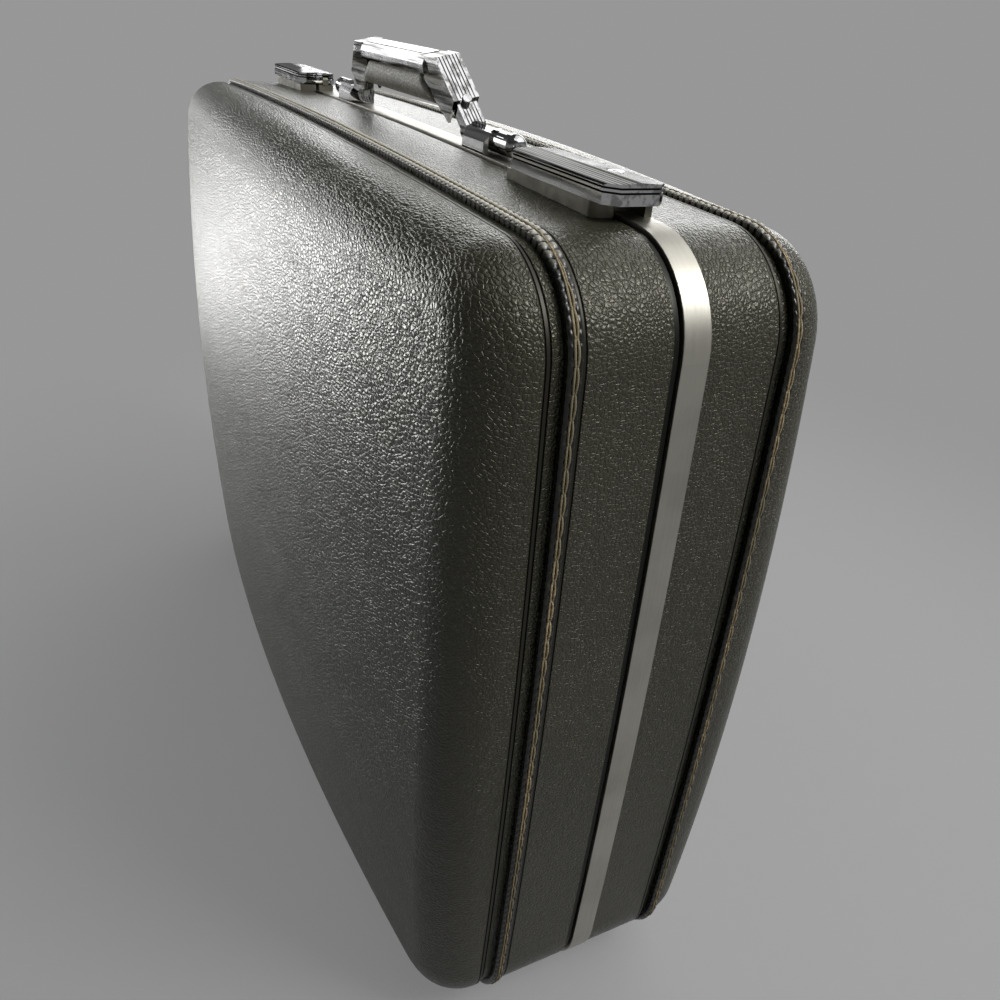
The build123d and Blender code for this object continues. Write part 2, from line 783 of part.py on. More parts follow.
# Sleeve: a deep channel over the top of the link, with a ribbed web and an arched notch
def sleeve():
    with BuildPart(mode=Mode.PRIVATE) as body:
        base_u = sleeve_line - sleeve_base_v
        corner = (base_u - sleeve_depth, sleeve_base_v - sleeve_depth)
        outer = [
            (cap_half_length, sleeve_top),
            (sleeve_line - sleeve_top, sleeve_top),
            (base_u, sleeve_base_v),
            corner,
            (corner[0] - 30, corner[1] + 20),
            (corner[0] - 27, cap_base),
            (cap_half_length, cap_base),
        ]
        add(handle_slab(outer, sleeve_half_width))
        s = sheet * math.sqrt(2)
        inner = [
            (sleeve_line - s - sleeve_top + sheet, sleeve_top - sheet),
            (sleeve_line - s - sleeve_base_v + 8, sleeve_base_v - 8),
            (corner[0] - 2, corner[1] - 8),
            (corner[0] - 60, corner[1] + 20),
            (corner[0] - 30, cap_base - sheet),
            (cap_half_length + sheet, cap_base - sheet),
            (cap_half_length + sheet, sleeve_top - sheet),
        ]
        add(handle_slab(inner, link_half_width + seat), mode=Mode.SUBTRACT)
        web = web_plane(sleeve_line)
        with BuildSketch(web):
            Circle(boss_radius + 0.6)
        extrude(amount=-sheet * 1.6, both=True, mode=Mode.SUBTRACT)
        for k in range(rib_count):
            off = (k - (rib_count - 1) / 2) * 2.1
            with BuildSketch(web):
                with Locations((off, 4.4)):
                    Rectangle(rib_width, 60, align=(Align.CENTER, Align.MIN))
            extrude(amount=-rib_depth, mode=Mode.SUBTRACT)
    return body.part


# Round boss on the web of the link
def boss():
    with BuildPart(mode=Mode.PRIVATE) as body:
        with BuildSketch(web_plane(link_line)):
            Circle(boss_radius)
        extrude(amount=(sheet + seat) + boss_height)
        chamfer(edges().filter_by(GeomType.CIRCLE).group_by(Axis.Z)[-1], 0.4)
    return body.part


# Pivot pin, fixed in the knuckle and turning in the post
def pivot_pin():
    with BuildPart(mode=Mode.PRIVATE) as body:
        with BuildSketch(Plane.YZ.offset(knuckle_start + 0.6)):
            with Locations((pivot_y, pivot_z)):
                Circle(pivot_pin_radius)
        extrude(amount=post_start + 20 - knuckle_start - 0.6)
    return body.part


with BuildPart() as right_link:
    add(link())
right_link.part.label = "right_link"

with BuildPart() as left_link:
    mirror(right_link.part, about=Plane.YZ)
left_link.part.label = "left_link"

with BuildPart() as right_arm_sleeve:
    add(sleeve())
right_arm_sleeve.part.label = "right_arm_sleeve"

with BuildPart() as left_arm_sleeve:
    mirror(right_arm_sleeve.part, about=Plane.YZ)
left_arm_sleeve.part.label = "left_arm_sleeve"

with BuildPart() as right_boss:
    add(boss())
right_boss.part.label = "right_boss"

with BuildPart() as left_boss:
    mirror(right_boss.part, about=Plane.YZ)
left_boss.part.label = "left_boss"

with BuildPart() as right_pivot_pin:
    add(pivot_pin())
right_pivot_pin.part.label = "right_pivot_pin"

with BuildPart() as left_pivot_pin:
    mirror(right_pivot_pin.part, about=Plane.YZ)
left_pivot_pin.part.label = "left_pivot_pin"

# Plane across the handle at its middle, for the sections of the grip and the top frame
section_plane = Plane(
    origin=(0, pivot_y, pivot_z),
    x_dir=(0, math.cos(lean), math.sin(lean)),
    z_dir=(1, 0, 0),
)

# Top frame of the handle: bevelled bar with a channel for the inlay
with BuildPart() as handle_top_frame:
    with BuildSketch(section_plane):
        with BuildLine():
            Polyline(
                (-cap_half_width, cap_base),
                (cap_half_width, cap_base),
                (cap_half_width, cap_bevel),
                (cap_top_half_width, sleeve_top),
                (-cap_top_half_width, sleeve_top),
                (-cap_half_width, cap_bevel),
                close=True,
            )
        make_face()
    extrude(amount=cap_half_length, both=True)
    chamfer(edges().filter_by(Axis.X).group_by(Axis.Z)[-1], 0.7)
    inlay_plane = Plane(
        origin=(0, pivot_y - sleeve_top * math.sin(lean), pivot_z + sleeve_top * math.cos(lean)),
        x_dir=(1, 0, 0),
        z_dir=(0, -math.sin(lean), math.cos(lean)),
    )
    with BuildSketch(inlay_plane):
        Rectangle(2 * (cap_half_length - inlay_margin), 2 * inlay_half_width + 1.4)
    extrude(amount=-inlay_depth, mode=Mode.SUBTRACT)
handle_top_frame.part.label = "handle_top_frame"

# Satin inlay strip in the channel
with BuildPart() as handle_inlay:
    with BuildSketch(inlay_plane.offset(-inlay_depth)):
        Rectangle(2 * (cap_half_length - inlay_margin) - 1.0, 2 * inlay_half_width)
    extrude(amount=inlay_depth + 0.3)
handle_inlay.part.label = "handle_inlay"

# Padded grip under the top frame, with ends cut along the sleeves
with BuildPart() as handle_grip:
    with BuildSketch(section_plane):
        with BuildLine():
            Polyline((-8.6, cap_base), (8.6, cap_base), (10.2, 24.0))
            Spline((10.2, 24.0), (grip_half_width, 17.0), (6.5, grip_bottom + 1.2), (0, grip_bottom),
                   (-6.5, grip_bottom + 1.2), (-grip_half_width, 17.0), (-10.2, 24.0))
            Line((-10.2, 24.0), (-8.6, cap_base))
        make_face()
    extrude(amount=cap_half_length + 25, both=True)
    end_u = sleeve_line - sleeve_base_v - sleeve_depth
    end_v = sleeve_base_v - sleeve_depth
    for side in (-1, 1):
        add(handle_slab(
            [
                (side * (end_u + 6.0 - 0.4), end_v - 4.0),
                (side * (end_u - 30 - 0.4), end_v + 20),
                (side * (end_u - 33 - 0.4), cap_base + 2),
                (side * (end_u + 30), cap_base + 2),
                (side * (end_u + 30), end_v - 4.0),
            ],
            30), mode=Mode.SUBTRACT)
handle_grip.part.label = "handle_grip"

nodes = [
    lid_front_panel, base_back_panel, lid_side_band, base_side_band, lid_welt, base_welt,
    base_frame_rail, lid_frame_rail, lid_lining, base_lining, lid_feet, base_feet,
    base_hinge_leaves, lid_hinge_leaves, hinge_pins,
    right_latch_bed, left_latch_bed, right_catch_plate, left_catch_plate,
    right_latch_pin, left_latch_pin, right_latch_cover, left_latch_cover,
    right_key_plug, left_key_plug, right_handle_post, left_handle_post,
    right_post_cap, left_post_cap, right_link, left_link, right_arm_sleeve, left_arm_sleeve,
    right_boss, left_boss, right_pivot_pin, left_pivot_pin,
    handle_top_frame, handle_inlay, handle_grip,
]
for node in nodes:
    part = node.part
    print(part.label, "valid", part.is_valid, "solids", len(part.solids()), "volume", round(part.volume))
    export_step(part, f"parts/{part.label}.step")
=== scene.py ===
# %% [markdown]
# # A hard-shell suitcase
#
# The case is already modelled to size. Here it is dressed: leather-grain vinyl on the shells,
# a stitched welt round each face, brushed and polished metal, a padded grip and a woven lining.
# Pieces with the right shape keep it and only get a finish. The welts, the grip and the
# linings are remade, because their detail is too fine or too soft for the solid model.

# %% Load the frame
import math

import bmesh
import bpy
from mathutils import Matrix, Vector


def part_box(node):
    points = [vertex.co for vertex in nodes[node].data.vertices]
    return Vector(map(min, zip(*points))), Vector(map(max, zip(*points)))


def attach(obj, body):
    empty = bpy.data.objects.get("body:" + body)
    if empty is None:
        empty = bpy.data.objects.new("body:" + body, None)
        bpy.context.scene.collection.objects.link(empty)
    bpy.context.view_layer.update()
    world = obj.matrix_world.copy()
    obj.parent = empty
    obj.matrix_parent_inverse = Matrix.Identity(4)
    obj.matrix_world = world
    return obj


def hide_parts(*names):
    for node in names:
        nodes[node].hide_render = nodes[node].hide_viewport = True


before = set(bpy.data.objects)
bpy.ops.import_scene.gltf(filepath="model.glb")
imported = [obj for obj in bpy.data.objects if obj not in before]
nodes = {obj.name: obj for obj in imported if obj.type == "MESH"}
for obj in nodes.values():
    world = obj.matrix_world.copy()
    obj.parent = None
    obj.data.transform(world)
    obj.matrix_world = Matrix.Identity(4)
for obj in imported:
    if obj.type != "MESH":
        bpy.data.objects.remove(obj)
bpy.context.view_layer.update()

# %% [markdown]
# ## The camera
#
# The picture was taken from close by, near the right end and a little above the top, with a
# wide lens. That is why the near corner looks so large and the bottom so small. A camera that
# stands farther off with a long lens gives the same side of the case but not its shape. So a
# camera was fitted to the outline in the picture, and the place, turn and lens that came out
# are used here. They are an estimate, since the picture itself doesn't give them.

# %% Camera
MM = 0.001
CAMERA_PLACE = Vector((580.8, -210.9, 538.1)) * MM
CAMERA_TURN = (60.449, -4.380, 64.072)
SENSOR = 36.0
LENS_SHARE = 0.8643
LENS = LENS_SHARE * SENSOR

camera_data = bpy.data.cameras.new("camera")
camera_data.sensor_width = SENSOR
camera_data.lens = LENS
camera_data.clip_start = 10 * MM
camera = bpy.data.objects.new("camera", camera_data)
camera.location = CAMERA_PLACE
camera.rotation_euler = [math.radians(a) for a in CAMERA_TURN]
bpy.context.scene.collection.objects.link(camera)
bpy.context.scene.camera = camera
print("lens", round(LENS, 1), "mm")
print("camera", round(CAMERA_PLACE.length, 2), "m from the middle of the foot")

# %% [markdown]
# ## A few helpers for finishes
#
# Each finish is a small tree of nodes. The same steps come back in all of them: take a point
# on the object, bend it a little with noise, look up a pattern there, and turn the pattern
# into colour, gloss and relief. The patterns live in space, not on an unwrapped skin, so they
# run on over edges and need no unwrapping. The scale of a pattern counts its features in a
# metre: cells at 520 are about 2 mm across.


# %% Helpers for finishes
def new_finish(name, color, roughness, metallic=0.0, level=0.5):
    """A finish with its main shader, set to plain values that links may replace later."""
    finish = bpy.data.materials.new(name)
    finish.use_nodes = True
    shader = finish.node_tree.nodes["Principled BSDF"]
    shader.inputs["Base Color"].default_value = (*color, 1)
    shader.inputs["Roughness"].default_value = roughness
    shader.inputs["Metallic"].default_value = metallic
    shader.inputs["Specular IOR Level"].default_value = level
    return finish, finish.node_tree, shader


def place(tree, stretch=(1, 1, 1)):
    """The point on the object. A small stretch draws the pattern out along that axis."""
    point = tree.nodes.new("ShaderNodeTexCoord").outputs["Object"]
    scaled = tree.nodes.new("ShaderNodeVectorMath")
    scaled.operation = "MULTIPLY"
    scaled.inputs[1].default_value = stretch
    tree.links.new(point, scaled.inputs[0])
    return scaled.outputs[0]


def cloud(tree, point, scale, detail=3.0, rough=0.5):
    noise = tree.nodes.new("ShaderNodeTexNoise")
    noise.inputs["Scale"].default_value = scale
    noise.inputs["Detail"].default_value = detail
    noise.inputs["Roughness"].default_value = rough
    tree.links.new(point, noise.inputs["Vector"])
    return noise


def bent(tree, point, scale, reach):
    """The point, moved by noise by up to half of the reach each way."""
    noise = cloud(tree, point, scale, 2.0)
    centred = tree.nodes.new("ShaderNodeVectorMath")
    centred.operation = "SUBTRACT"
    centred.inputs[1].default_value = (0.5, 0.5, 0.5)
    tree.links.new(noise.outputs["Color"], centred.inputs[0])
    shifted = tree.nodes.new("ShaderNodeVectorMath")
    shifted.operation = "MULTIPLY_ADD"
    shifted.inputs[1].default_value = (reach, reach, reach)
    tree.links.new(centred.outputs[0], shifted.inputs[0])
    tree.links.new(point, shifted.inputs[2])
    return shifted.outputs[0]


def cells(tree, point, scale, feature="DISTANCE_TO_EDGE"):
    """The distance to the nearest cell edge, or with F1 to the nearest cell middle."""
    texture = tree.nodes.new("ShaderNodeTexVoronoi")
    texture.feature = feature
    texture.inputs["Scale"].default_value = scale
    tree.links.new(point, texture.inputs["Vector"])
    return texture.outputs["Distance"]


def calc(tree, operation, a, b=None, c=None):
    """One sum. MULTIPLY_ADD gives a times b plus c."""
    node = tree.nodes.new("ShaderNodeMath")
    node.operation = operation
    for socket, value in zip(node.inputs, (a, b, c)):
        if value is None:
            continue
        if isinstance(value, (int, float)):
            socket.default_value = value
        else:
            tree.links.new(value, socket)
    return node.outputs[0]


def ramp(tree, value, low, high, to_low=0.0, to_high=1.0):
    """A soft step: to_low up to low, to_high from high on, and a smooth way between."""
    node = tree.nodes.new("ShaderNodeMapRange")
    node.interpolation_type = "SMOOTHSTEP"
    numbers = {"From Min": low, "From Max": high, "To Min": to_low, "To Max": to_high}
    for name, number in numbers.items():
        node.inputs[name].default_value = number
    tree.links.new(value, node.inputs["Value"])
    return node.outputs[0]


def blend_colors(tree, share, first, second):
    """The first colour at share 0 and the second at 1."""
    node = tree.nodes.new("ShaderNodeMix")
    node.data_type = "RGBA"
    # A mix node has sockets for every kind of value. 6 and 7 are its two colours.
    for socket, value in ((node.inputs[6], first), (node.inputs[7], second)):
        if isinstance(value, tuple):
            socket.default_value = (*value, 1)
        else:
            tree.links.new(value, socket)
    tree.links.new(share, node.inputs[0])
    return node.outputs[2]


def relief(tree, shader, height, depth, strength=1.0, after=None):
    """Let the height tilt the shading, on top of the relief in after if there is one."""
    bump = tree.nodes.new("ShaderNodeBump")
    bump.inputs["Distance"].default_value = depth
    bump.inputs["Strength"].default_value = strength
    tree.links.new(height, bump.inputs["Height"])
    if after is not None:
        tree.links.new(after, bump.inputs["Normal"])
    tree.links.new(bump.outputs[0], shader.inputs["Normal"])
    return bump.outputs[0]


def axis_value(tree, point, axis):
    split = tree.nodes.new("ShaderNodeSeparateXYZ")
    tree.links.new(point, split.inputs[0])
    return split.outputs[axis]


def distance_to(tree, value, marks):
    """How far a value is from the nearest of a few marks."""
    nearest = None
    for mark in marks:
        away = calc(tree, "ABSOLUTE", calc(tree, "SUBTRACT", value, mark))
        nearest = away if nearest is None else calc(tree, "MINIMUM", nearest, away)
    return nearest


# %% [markdown]
# ## Leather-grain vinyl
#
# The skin is a dark olive vinyl with a pressed leather grain: small glossy pebbles with dark
# cracks between them. It could be a picture wrapped round the shells. A cell pattern does it
# without one: the distance to the nearest cell edge is a pebble that sinks at its rim. The
# space is bent by noise first, so the pebbles differ in size and lean in all directions, and
# it is squeezed a little along the case, because the grain is longer than it is wide. The
# cracks are dull and painted near black as shade, and the crowns of the pebbles shine.
#
# Each vinyl piece is folded over where it meets a welt or a groove. There the skin is
# stretched smooth, with one fine line along the fold. The distance from that edge, along Y,
# switches the grain off and draws the line.
#
# Three more things make it old vinyl and not fresh plastic: slow wrinkles under the grain,
# patches that are a little duller, and a few pale scuffs. The cracks get no shine and are
# painted near black as shade, so the grain stays readable where the light only grazes the skin.

# %% Vinyl values
PEBBLES = 520
CREASES = 110
WRINKLES = 190
PEBBLE_RELIEF = 0.34 * MM
PEBBLE_SQUEEZE = (0.55, 1.0, 1.0)
FOLD_WIDTH = 2.3 * MM
FOLD_LINE = 1.5 * MM
FOLD_LINE_HALF = (0.1 * MM, 0.45 * MM)
FOLD_LIP = 5.5 * MM
VINYL_CRACK_SHADE = (0.0028, 0.0026, 0.0017)
VINYL_CROWN = (0.043, 0.0415, 0.028)
VINYL_RUBBED = (0.11, 0.10, 0.07)
VINYL_SHINE = (1.0, 0.97, 0.82, 1)
fold_edges = [
    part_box("lid_front_panel")[1].y,
    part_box("lid_welt")[1].y,
    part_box("base_welt")[1].y,
    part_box("base_welt")[0].y - FOLD_LIP,
]
print("folds at y =", [round(1000 * y, 1) for y in fold_edges], "mm")


# %% Vinyl relief
def vinyl_grain(tree, point):
    """Pebbles with a flat top and a narrow crack round each, on slow wrinkles and creases."""
    squeezed = place(tree, PEBBLE_SQUEEZE)
    swirled = bent(tree, bent(tree, squeezed, 22, 12 * MM), 330, 1.4 * MM)
    rim = cells(tree, swirled, PEBBLES)
    dome = ramp(tree, rim, 0.0, 0.5, 0.0, 0.55)
    height = calc(tree, "MULTIPLY_ADD", ramp(tree, rim, 0.0, 0.12), 0.60, dome)
    creases = ramp(tree, cells(tree, bent(tree, squeezed, 60, 8 * MM), CREASES), 0.0, 0.05)
    height = calc(tree, "MULTIPLY_ADD", creases, 0.12, height)
    slow = cloud(tree, place(tree, (0.5, 1.4, 0.8)), WRINKLES, 4.0, 0.65).outputs["Fac"]
    height = calc(tree, "MULTIPLY_ADD", ramp(tree, slow, 0.32, 0.68), 0.50, height)
    fine = cloud(tree, point, 1500, 3.0).outputs["Fac"]
    return calc(tree, "MULTIPLY_ADD", fine, 0.15, height)


def vinyl_height(tree, point):
    """The grain, switched off at the folds, with one fine line along each fold."""
    away = distance_to(tree, axis_value(tree, point, 1), fold_edges)
    grainy = ramp(tree, away, FOLD_LINE, FOLD_WIDTH)
    height = calc(tree, "MULTIPLY", vinyl_grain(tree, point), grainy)
    line = ramp(tree, distance_to(tree, away, [FOLD_LINE]), *FOLD_LINE_HALF)
    return calc(tree, "MULTIPLY_ADD", line, 0.8, height)


# %% Vinyl finish
def vinyl_finish():
    finish, tree, shader = new_finish("grain_vinyl", VINYL_CROWN, 0.34, level=0.4)
    shader.inputs["Specular Tint"].default_value = VINYL_SHINE
    point = place(tree)
    height = vinyl_height(tree, point)
    relief(tree, shader, height, PEBBLE_RELIEF, 1.0)
    patches = cloud(tree, point, 7, 4.0, 0.6).outputs["Fac"]
    crown = ramp(tree, height, 0.65, 1.30)
    tone = calc(tree, "MULTIPLY", crown, ramp(tree, patches, 0.2, 0.8, 0.7, 1.0))
    # Painted shade: the cracks between the pebbles are painted near black.
    color = blend_colors(tree, tone, VINYL_CRACK_SHADE, VINYL_CROWN)
    marks = cloud(tree, place(tree, (30, 30, 75)), 1.0, 6.0, 0.65).outputs["Fac"]
    scuffs = calc(tree, "MULTIPLY", ramp(tree, marks, 0.70, 0.76), 0.4)
    tree.links.new(blend_colors(tree, scuffs, color, VINYL_RUBBED), shader.inputs["Base Color"])
    shine = ramp(tree, height, 0.50, 0.95, 0.02, 0.50)
    tree.links.new(shine, shader.inputs["Specular IOR Level"])
    gloss = ramp(tree, height, 0.4, 1.3, 0.5, 0.26)
    tree.links.new(calc(tree, "MULTIPLY_ADD", patches, 0.06, gloss), shader.inputs["Roughness"])
    return finish


vinyl = vinyl_finish()


# %% Dress the shells
def dress(finish, *names):
    for name in names:
        node = nodes[name]
        node.data.materials.clear()
        node.data.materials.append(finish)
    print(finish.name, "on", ", ".join(names))


dress(vinyl, "lid_front_panel", "base_back_panel", "lid_side_band", "base_side_band")

# %% [markdown]
# ## Metals
#
# There are three: bright chrome on the handle and the latches, satin aluminium on the strip
# and the inlay, and dull plated steel on the plates, hinges and feet. All are the same
# shader. What tells them apart is how wide the reflection is and how it is scratched.
# Polished chrome has thin random scratches and smears. Satin metal has long streaks in the
# direction in which it was brushed, made by noise that is stretched along one axis.
#
# Old chrome doesn't mirror evenly: streaks along the piece mirror less. The grooves of the
# ribbed pieces are painted dark as shade. The ribs of the sleeves and links are already in the
# model, so a dark comb of the same pitch paints that shade into the gaps only. The fine teeth
# and lines on top of the latches are too small to model, so they are drawn as colour and
# relief, with painted shade in their grooves, and the latch tops are painted darker as shade.
# Metal that is seen along its surface mirrors nearly everything, whatever its colour. The tint
# of the reflection at such angles is therefore set too, or the tops would be plain white.
#
# The rail behind the light strip is painted nearly black, as painted shade for the recess beside
# the strip. It reads as a dark line beside the strip.

# %% Metal values
RIB_PITCH = 1.8 * MM
LINE_PITCH = 2.2 * MM
SLEEVE_COMB = (2.1 * MM, 6)
LINK_COMB = (1.9 * MM, 5)
HANDLE_LEAN = math.radians(12.0)
HANDLE_ACROSS = Vector((0, -math.cos(HANDLE_LEAN), -math.sin(HANDLE_LEAN)))
HANDLE_PIVOT = Vector((0, 12.1, 477.0)) * MM
LATCH_GROOVES = (4.9 * MM, 6.7 * MM)
CHROME = (0.54, 0.54, 0.55)
CHROME_DULL_AND_SHADE = (0.10, 0.098, 0.09)
GROOVE_SHADE = (0.012, 0.012, 0.011)
STRIP_TONE = (0.47, 0.455, 0.40)
RAIL_SHADE_TONE = (0.030, 0.030, 0.027)
INLAY_TONE = (0.86, 0.85, 0.80)
PLATE_TONE = (0.17, 0.165, 0.135)
HINGE_TONE = (0.55, 0.55, 0.53)
SATIN_DULL = 0.62
SATIN_RELIEF = 0.04 * MM
cover_low, cover_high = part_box("right_latch_cover")
print("latch cover", [round(1000 * (b - a), 1) for a, b in zip(cover_low, cover_high)], "mm")


# %% Ribs and grooves of the chrome
def comb_shade(tree, point, pitch, count):
    """Painted shade between the ribs of a sleeve or link. The phase puts the ribs on the modelled
    ones.
    """
    across = tree.nodes.new("ShaderNodeVectorMath")
    across.operation = "DOT_PRODUCT"
    across.inputs[1].default_value = HANDLE_ACROSS
    tree.links.new(point, across.inputs[0])
    across = calc(tree, "SUBTRACT", across.outputs["Value"], HANDLE_PIVOT.dot(HANDLE_ACROSS))
    phase = 0.0 if count % 2 else 0.5
    turns = calc(tree, "ADD", calc(tree, "DIVIDE", across, pitch), phase)
    wave = calc(tree, "COSINE", calc(tree, "MULTIPLY", turns, 2 * math.pi))
    edge = count / 2 * pitch
    inside = ramp(tree, calc(tree, "ABSOLUTE", across), edge - 0.3 * MM, edge, 1.0, 0.0)
    return calc(tree, "MULTIPLY", ramp(tree, wave, 0.1, 0.75), inside)


def side_grooves(tree, point):
    """1 in the two grooves round the sides of a latch cover, where shade is painted."""
    levels = [cover_low.z + level for level in LATCH_GROOVES]
    away = distance_to(tree, axis_value(tree, point, 2), levels)
    return ramp(tree, away, 0.30 * MM, 0.50 * MM, 1.0, 0.0)


def latch_top(tree, point):
    """The top face, where shade is painted, its dark middle ridge, the teeth beyond the ridge and
    the lines before it.
    """
    middle = (cover_low.y + cover_high.y) / 2
    x, y = axis_value(tree, point, 0), axis_value(tree, point, 1)
    outward = tree.nodes.new("ShaderNodeTexCoord").outputs["Normal"]
    top = ramp(tree, axis_value(tree, outward, 2), 0.6, 0.8)
    beyond = ramp(tree, y, middle + 0.4 * MM, middle + 0.9 * MM)
    beyond = calc(tree, "MULTIPLY", beyond, top)
    teeth = calc(tree, "SINE", calc(tree, "MULTIPLY", x, 2 * math.pi / RIB_PITCH))
    teeth = calc(tree, "MULTIPLY", teeth, beyond)
    lines = calc(tree, "SINE", calc(tree, "MULTIPLY", y, 2 * math.pi / LINE_PITCH))
    lines = calc(tree, "MULTIPLY", lines, calc(tree, "SUBTRACT", top, beyond))
    ridge = ramp(tree, distance_to(tree, y, [middle]), 0.3 * MM, 0.7 * MM, 0.9, 0.0)
    return top, calc(tree, "MULTIPLY", ridge, top), teeth, lines


# %% Chrome finish
def chrome_finish(name, streaked=0.45, comb=None, ribbed=False, edge=0.8):
    finish, tree, shader = new_finish(name, CHROME, 0.09, metallic=1.0)
    point = place(tree)
    smears = cloud(tree, point, 45, 5.0, 0.6).outputs["Fac"]
    tree.links.new(ramp(tree, smears, 0.35, 0.75, 0.06, 0.2), shader.inputs["Roughness"])
    pits = ramp(tree, cells(tree, bent(tree, point, 200, 3 * MM), 900, "F1"), 0.05, 0.16)
    worn = calc(tree, "MULTIPLY", ramp(tree, smears, 0.5, 0.8), calc(tree, "SUBTRACT", 1.0, pits))
    stretched = cloud(tree, place(tree, (9, 260, 260)), 1.0, 3.0, 0.55).outputs["Fac"]
    streaks = ramp(tree, stretched, 0.44, 0.62)
    shade = calc(tree, "MULTIPLY", streaks, streaked)
    shade = calc(tree, "MAXIMUM", calc(tree, "MULTIPLY", worn, 0.6), shade)
    if comb is not None:
        shade = calc(tree, "MAXIMUM", shade, comb_shade(tree, point, *comb))
    scratches = cloud(tree, place(tree, (900, 140, 900)), 1.0, 4.0, 0.7).outputs["Fac"]
    bumps = relief(tree, shader, scratches, 0.02 * MM, 0.35)
    groove = None
    if ribbed:
        top, ridge, teeth, lines = latch_top(tree, point)
        # Painted shade: faces that look up are darkened toward the dull colour, with the streaks
        # on top.
        brushed_top_shade = calc(tree, "MULTIPLY_ADD", streaks, 0.35, 0.42)
        shade = calc(tree, "MAXIMUM", shade, ridge)
        shade = calc(tree, "MAXIMUM", shade, calc(tree, "MULTIPLY", top, brushed_top_shade))
        faint = calc(tree, "MULTIPLY", ramp(tree, lines, 0.3, 0.8), 0.5)
        dark = calc(tree, "MAXIMUM", ramp(tree, teeth, 0.0, 0.5), faint)
        # Painted shade: the side grooves and the grooves of the teeth and lines are painted near
        # black.
        groove = side_grooves(tree, point)
        groove = calc(tree, "MAXIMUM", groove, calc(tree, "MULTIPLY", dark, 0.9))
        relief(tree, shader, teeth, 0.2 * MM, 1.0, after=bumps)
    # The dull colour stands both for dull, worn chrome and for painted shade in ribs, grooves and
    # tops.
    for socket, bright in (("Base Color", CHROME), ("Specular Tint", (edge, edge, edge))):
        color = blend_colors(tree, shade, bright, CHROME_DULL_AND_SHADE)
        if groove is not None:
            color = blend_colors(tree, groove, color, GROOVE_SHADE)
        tree.links.new(color, shader.inputs[socket])
    return finish


# %% Satin finish
def satin_finish(name, color, stretch, roughness):
    finish, tree, shader = new_finish(name, color, roughness, metallic=1.0)
    streaks = cloud(tree, place(tree, stretch), 1.0, 5.0, 0.65).outputs["Fac"]
    stains = cloud(tree, place(tree), 18, 5.0, 0.6).outputs["Fac"]
    dull = tuple(SATIN_DULL * c for c in color)
    shade = calc(tree, "MULTIPLY", ramp(tree, stains, 0.35, 0.75), 0.55)
    shade = calc(tree, "MULTIPLY_ADD", ramp(tree, streaks, 0.3, 0.7), 0.25, shade)
    tree.links.new(blend_colors(tree, shade, color, dull), shader.inputs["Base Color"])
    rough = ramp(tree, streaks, 0.3, 0.7, roughness - 0.06, roughness + 0.1)
    tree.links.new(rough, shader.inputs["Roughness"])
    relief(tree, shader, streaks, SATIN_RELIEF, 0.5)
    return finish


# %% The metals by name
chrome = chrome_finish("bright_chrome")
frame_chrome = chrome_finish("frame_chrome", streaked=0.9, edge=0.4)
sleeve_chrome = chrome_finish("sleeve_chrome", streaked=0.8, comb=SLEEVE_COMB)
link_chrome = chrome_finish("link_chrome", streaked=0.7, comb=LINK_COMB)
latch_chrome = chrome_finish("latch_chrome", streaked=0.6, ribbed=True, edge=0.35)
strip_metal = satin_finish("strip_aluminium", STRIP_TONE, (14, 2600, 14), 0.40)
# Painted shade: the recessed rail is nearly black to stand for the shade beside the strip.
rail_metal = satin_finish("dark_rail", RAIL_SHADE_TONE, (20, 1800, 20), 0.42)
inlay_metal = satin_finish("inlay_aluminium", INLAY_TONE, (20, 2600, 2600), 0.24)
plate_steel = satin_finish("plate_steel", PLATE_TONE, (160, 160, 160), 0.50)
hinge_steel = satin_finish("hinge_steel", HINGE_TONE, (60, 900, 900), 0.34)

dress(strip_metal, "base_frame_rail")
dress(rail_metal, "lid_frame_rail")
dress(inlay_metal, "handle_inlay")
dress(hinge_steel, "base_hinge_leaves", "lid_hinge_leaves", "hinge_pins", "lid_feet", "base_feet")
for side in ("right", "left"):
    dress(plate_steel, f"{side}_latch_bed", f"{side}_catch_plate")
    dress(hinge_steel, f"{side}_latch_pin", f"{side}_pivot_pin")
    dress(chrome, f"{side}_key_plug", f"{side}_handle_post", f"{side}_post_cap", f"{side}_boss")
    dress(link_chrome, f"{side}_link")
    dress(sleeve_chrome, f"{side}_arm_sleeve")
    dress(latch_chrome, f"{side}_latch_cover")
dress(frame_chrome, "handle_top_frame")

# %% [markdown]
# ## The line of the case
#
# The welts and the linings follow the outline of the case: a rectangle whose four sides are
# slightly bowed and whose corners are round. The line is worked out as eight arcs, four long
# flat ones and four at the corners, and then walked in even steps. So a stitch is as long in
# a corner as on a side.

# %% Walk round the case
side_low, side_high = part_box("lid_side_band")
HALF_WIDTH = side_high.x
HALF_HEIGHT = (side_high.z - side_low.z) / 2
MIDDLE = Vector((0, 0, (side_high.z + side_low.z) / 2))
BOW_SIDE = 6.0 * MM
BOW_TOP = 5.0 * MM
CORNER = 46.0 * MM


